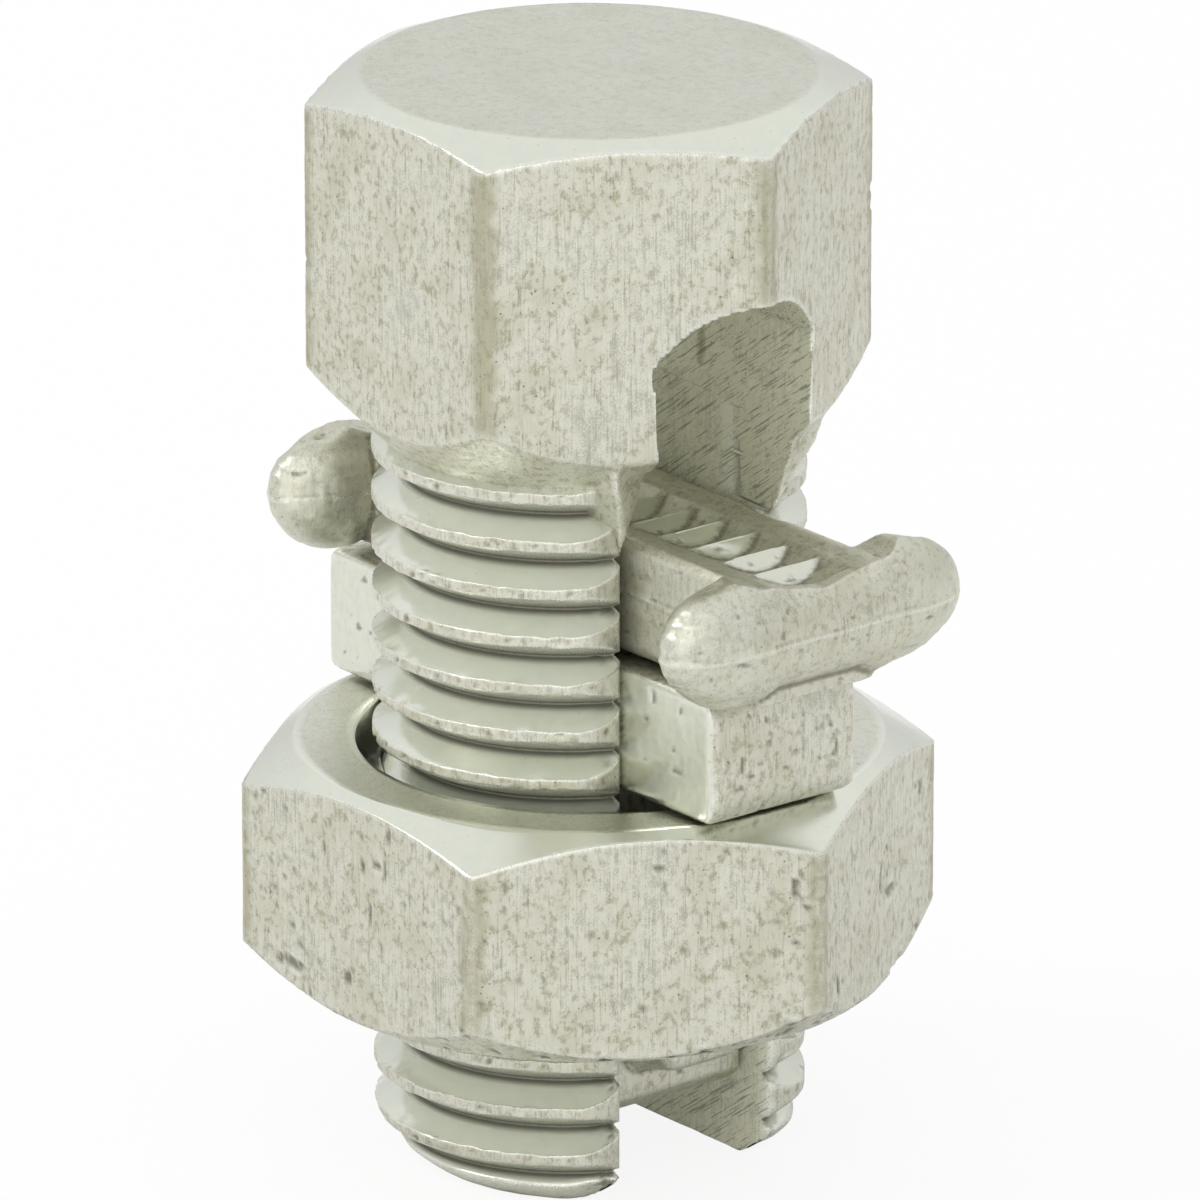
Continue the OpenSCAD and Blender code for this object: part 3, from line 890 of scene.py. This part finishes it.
def plated(colours, name, gloss=1.0, film=0.0):
    """Tin plating: speckled drawn flats, glossy turned faces, worn edges with a painted highlight, sawn
    slot walls and painted shade in hollows.
    """
    finish = Finish(name)
    smooth, sawn, corner, edge, hollow_shade = (
        finish.mask(part) for part in ("smooth", "sawn", "corner", "edge", "hollow_shade"))
    rough_part = (1 - smooth * 0.92).clamped()
    specks = finish.noise(0.075 * MM, 4, 0.7)
    blots = finish.noise(0.42 * MM, 5, 0.7, finish.place((1, 1, 1.3)))
    clouds = finish.noise(3.0 * MM, 4, 0.6)
    drawn = finish.noise(0.11 * MM, 3, 0.6, finish.place((1, 1, 26)))
    fleck = (specks * 0.55 + blots * 0.35 + drawn * 0.25 + (clouds - 0.5) * 0.3).between(0.59, 0.45)
    pit = finish.cells(0.55 * MM).between(0.13, 0.05) * clouds.between(0.45, 0.6)
    saw = finish.noise(0.1 * MM, 3, 0.6, finish.place((22, 1, 1), (0, 0.62, 0)))
    tone = finish.blend(clouds.between(0.4, 0.7) * 0.3, colours.pale, colours.olive)
    stain = drawn.between(0.44, 0.3) * 0.35 + blots.between(0.51, 0.37) * 0.62 * clouds.between(0.33, 0.58)
    tone = finish.blend(stain * rough_part, tone, colours.olive)
    haze = finish.noise(1.1 * MM, 4, 0.65).between(0.62, 0.4) * 0.22
    tone = finish.blend(smooth * 0.92, tone, finish.blend(haze, colours.bright, colours.slot_grey))
    tone = finish.blend((sawn * 0.9).clamped(), tone, colours.slot_grey)
    tone = finish.blend(corner * (0.45 + specks * 0.5), tone, colours.olive)
    # painted highlight along convex edges, which also stands for rubbed plating
    tone = finish.blend(edge * 0.5 * specks.between(0.35, 0.55), tone, colours.shine)
    # painted shade in hollows, along the thread roots and at the foot of each tooth
    tone = finish.blend(hollow_shade * 0.8, tone, colours.dark)
    tone = finish.blend(film, tone, colours.olive)
    tone = finish.blend(fleck * 0.36 * rough_part * (1 - edge * 0.6), tone, colours.dark)
    tone = finish.blend(pit * 0.7 * (0.35 + rough_part * 0.65), tone, colours.dark)
    tone = finish.blend(saw.between(0.47, 0.36) * sawn * 0.6, tone, colours.dark)
    rough = 0.4 - smooth * 0.22 + (specks - 0.5) * 0.35 * rough_part + sawn * 0.1 - edge * 0.12
    height = specks * 0.45 + blots * 0.35 + drawn * 0.2 - pit * 0.7
    fine = finish.bump(height * (rough_part * 0.92 + 0.08) + saw * sawn * 0.6, 0.035 * MM)
    # the painted shade also takes some metal out of the hollows
    metal = gloss - sawn * 0.55 - hollow_shade * 0.3
    return finish.surface(Base_Color=tone, Metallic=metal.clamped(), Roughness=rough.clamped(),
                          Normal=fine)


# ---- Stage ----

class MakeStage(bpy.types.Operator):
    """Make the floor, the soft light and the camera"""
    bl_idname = "connector.make_stage"
    bl_label = "Make the stage"

    def execute(self, context):
        stage = context.scene.connector.stage
        context.scene.view_settings.view_transform = "Standard"
        self.camera(context, stage)
        self.world(context, stage)
        self.floor()
        self.lamp("key", (-0.5, -0.9, 0.9), 0.42, stage.key)
        self.lamp("fill", (0.67, -0.74, 0.42), 0.95, stage.key * 0.6)
        return {"FINISHED"}

    def camera(self, context, stage):
        """The camera, aimed a little off the bolt's axis."""
        turn, rise = stage.side_turn, stage.elevation
        back = Vector((math.cos(turn) * math.cos(rise), -math.sin(turn) * math.cos(rise),
                       math.sin(rise)))
        right = Vector((math.sin(turn), math.cos(turn), 0))
        up = back.cross(right)
        aim = Vector((0, 0, stage.aim_z)) + right * stage.aim_right + up * stage.aim_up
        camera = new_object("camera", bpy.data.cameras.new("camera"))
        camera.data.lens = stage.lens
        camera.data.sensor_width = 36
        camera.location = aim + back * stage.distance
        camera.rotation_euler = (-back).to_track_quat("-Z", "Y").to_euler()
        context.scene.camera = camera

    def world(self, context, stage):
        """A pale surrounding, dimmer from below, that shows white behind the object only."""
        world = bpy.data.worlds.new("surround")
        context.scene.world = world
        world.use_nodes = True
        tree = world.node_tree
        path = tree.nodes.new("ShaderNodeLightPath")
        seen = tree.nodes.new("ShaderNodeMath")
        seen.operation = "MAXIMUM"
        tree.links.new(path.outputs["Is Camera Ray"], seen.inputs[0])
        tree.links.new(path.outputs["Is Transmission Ray"], seen.inputs[1])
        way = tree.nodes.new("ShaderNodeTexCoord")
        height = tree.nodes.new("ShaderNodeSeparateXYZ")
        tree.links.new(way.outputs["Generated"], height.inputs[0])
        shade = tree.nodes.new("ShaderNodeMapRange")
        shade.inputs["From Min"].default_value = -0.05
        shade.inputs["From Max"].default_value = 0.55
        shade.inputs["To Min"].default_value = stage.world * 0.7
        shade.inputs["To Max"].default_value = stage.world
        tree.links.new(height.outputs["Z"], shade.inputs["Value"])
        strength = tree.nodes.new("ShaderNodeMapRange")
        tree.links.new(shade.outputs[0], strength.inputs["To Min"])
        strength.inputs["To Max"].default_value = 1
        tree.links.new(seen.outputs[0], strength.inputs["Value"])
        background = tree.nodes["Background"]
        background.inputs["Color"].default_value = (1, 1, 1, 1)
        tree.links.new(strength.outputs[0], background.inputs["Strength"])

    def floor(self):
        """A plain white floor that keeps the object's shadow."""
        reach = 3.0
        points = np.array([(x, y, 0) for x, y in ((-1, -1), (1, -1), (1, 1), (-1, 1))]) * reach
        floor = mesh_from("floor", points, np.array([[0, 1, 2, 3]]))
        paint = Finish("floor_paint")
        path = paint.node("ShaderNodeLightPath")
        plain = paint.node("ShaderNodeBsdfDiffuse", {}, {"Color": (0.9, 0.9, 0.9, 1)})
        glow = paint.node("ShaderNodeEmission", {}, {"Color": (1, 1, 1, 1), "Strength": 1.0})
        shown = paint.node("ShaderNodeMixShader", {}, {0: path["Is Camera Ray"] * 0.88})
        paint.tree.links.new(plain["BSDF"].socket, shown.node.inputs[1])
        paint.tree.links.new(glow["Emission"].socket, shown.node.inputs[2])
        paint.node("ShaderNodeOutputMaterial", {}, {"Surface": shown["Shader"]})
        floor.data.materials.append(paint.material)

    def lamp(self, name, place, size, power):
        """A square soft lamp that faces the object."""
        data = bpy.data.lights.new(name, "AREA")
        data.size = size
        data.energy = power
        lamp = new_object(name, data)
        lamp.location = place
        middle = Vector((0, 0, 0.03))
        aim = middle - Vector(place)
        lamp.rotation_euler = aim.to_track_quat("-Z", "Y").to_euler()
        lamp.visible_camera = False


# ---- Panel and registration ----

STEPS = (MakeStage, MakeBolt, MakeNut, MakePressureBar, MakeSpacerBar)


class ConnectorPanel(bpy.types.Panel):
    """The connector's steps in the order they run"""
    bl_idname = "VIEW3D_PT_connector"
    bl_label = "Split bolt connector"
    bl_space_type = "VIEW_3D"
    bl_region_type = "UI"
    bl_category = "Connector"

    def draw(self, context):
        settings = context.scene.connector
        for step in STEPS:
            self.layout.operator(step.bl_idname)
        for group in (settings.bolt, settings.nut, settings.finish, settings.stage):
            box = self.layout.box()
            for key in group.__annotations__:
                box.prop(group, key)


CLASSES = (BoltSizes, NutSizes, FinishSettings, StageSettings, ConnectorSettings, *STEPS,
           ConnectorPanel)


def register():
    for item in CLASSES:
        bpy.utils.register_class(item)
    bpy.types.Scene.connector = PointerProperty(type=ConnectorSettings)


def unregister():
    del bpy.types.Scene.connector
    for item in reversed(CLASSES):
        bpy.utils.unregister_class(item)


def main():
    """Makes everything in order."""
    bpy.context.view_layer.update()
    register()
    bpy.ops.connector.make_stage()
    bpy.ops.connector.make_bolt()
    bpy.ops.connector.make_nut()
    bpy.ops.connector.make_pressure_bar()
    bpy.ops.connector.make_spacer_bar()


if __name__ == "__main__":
    main()
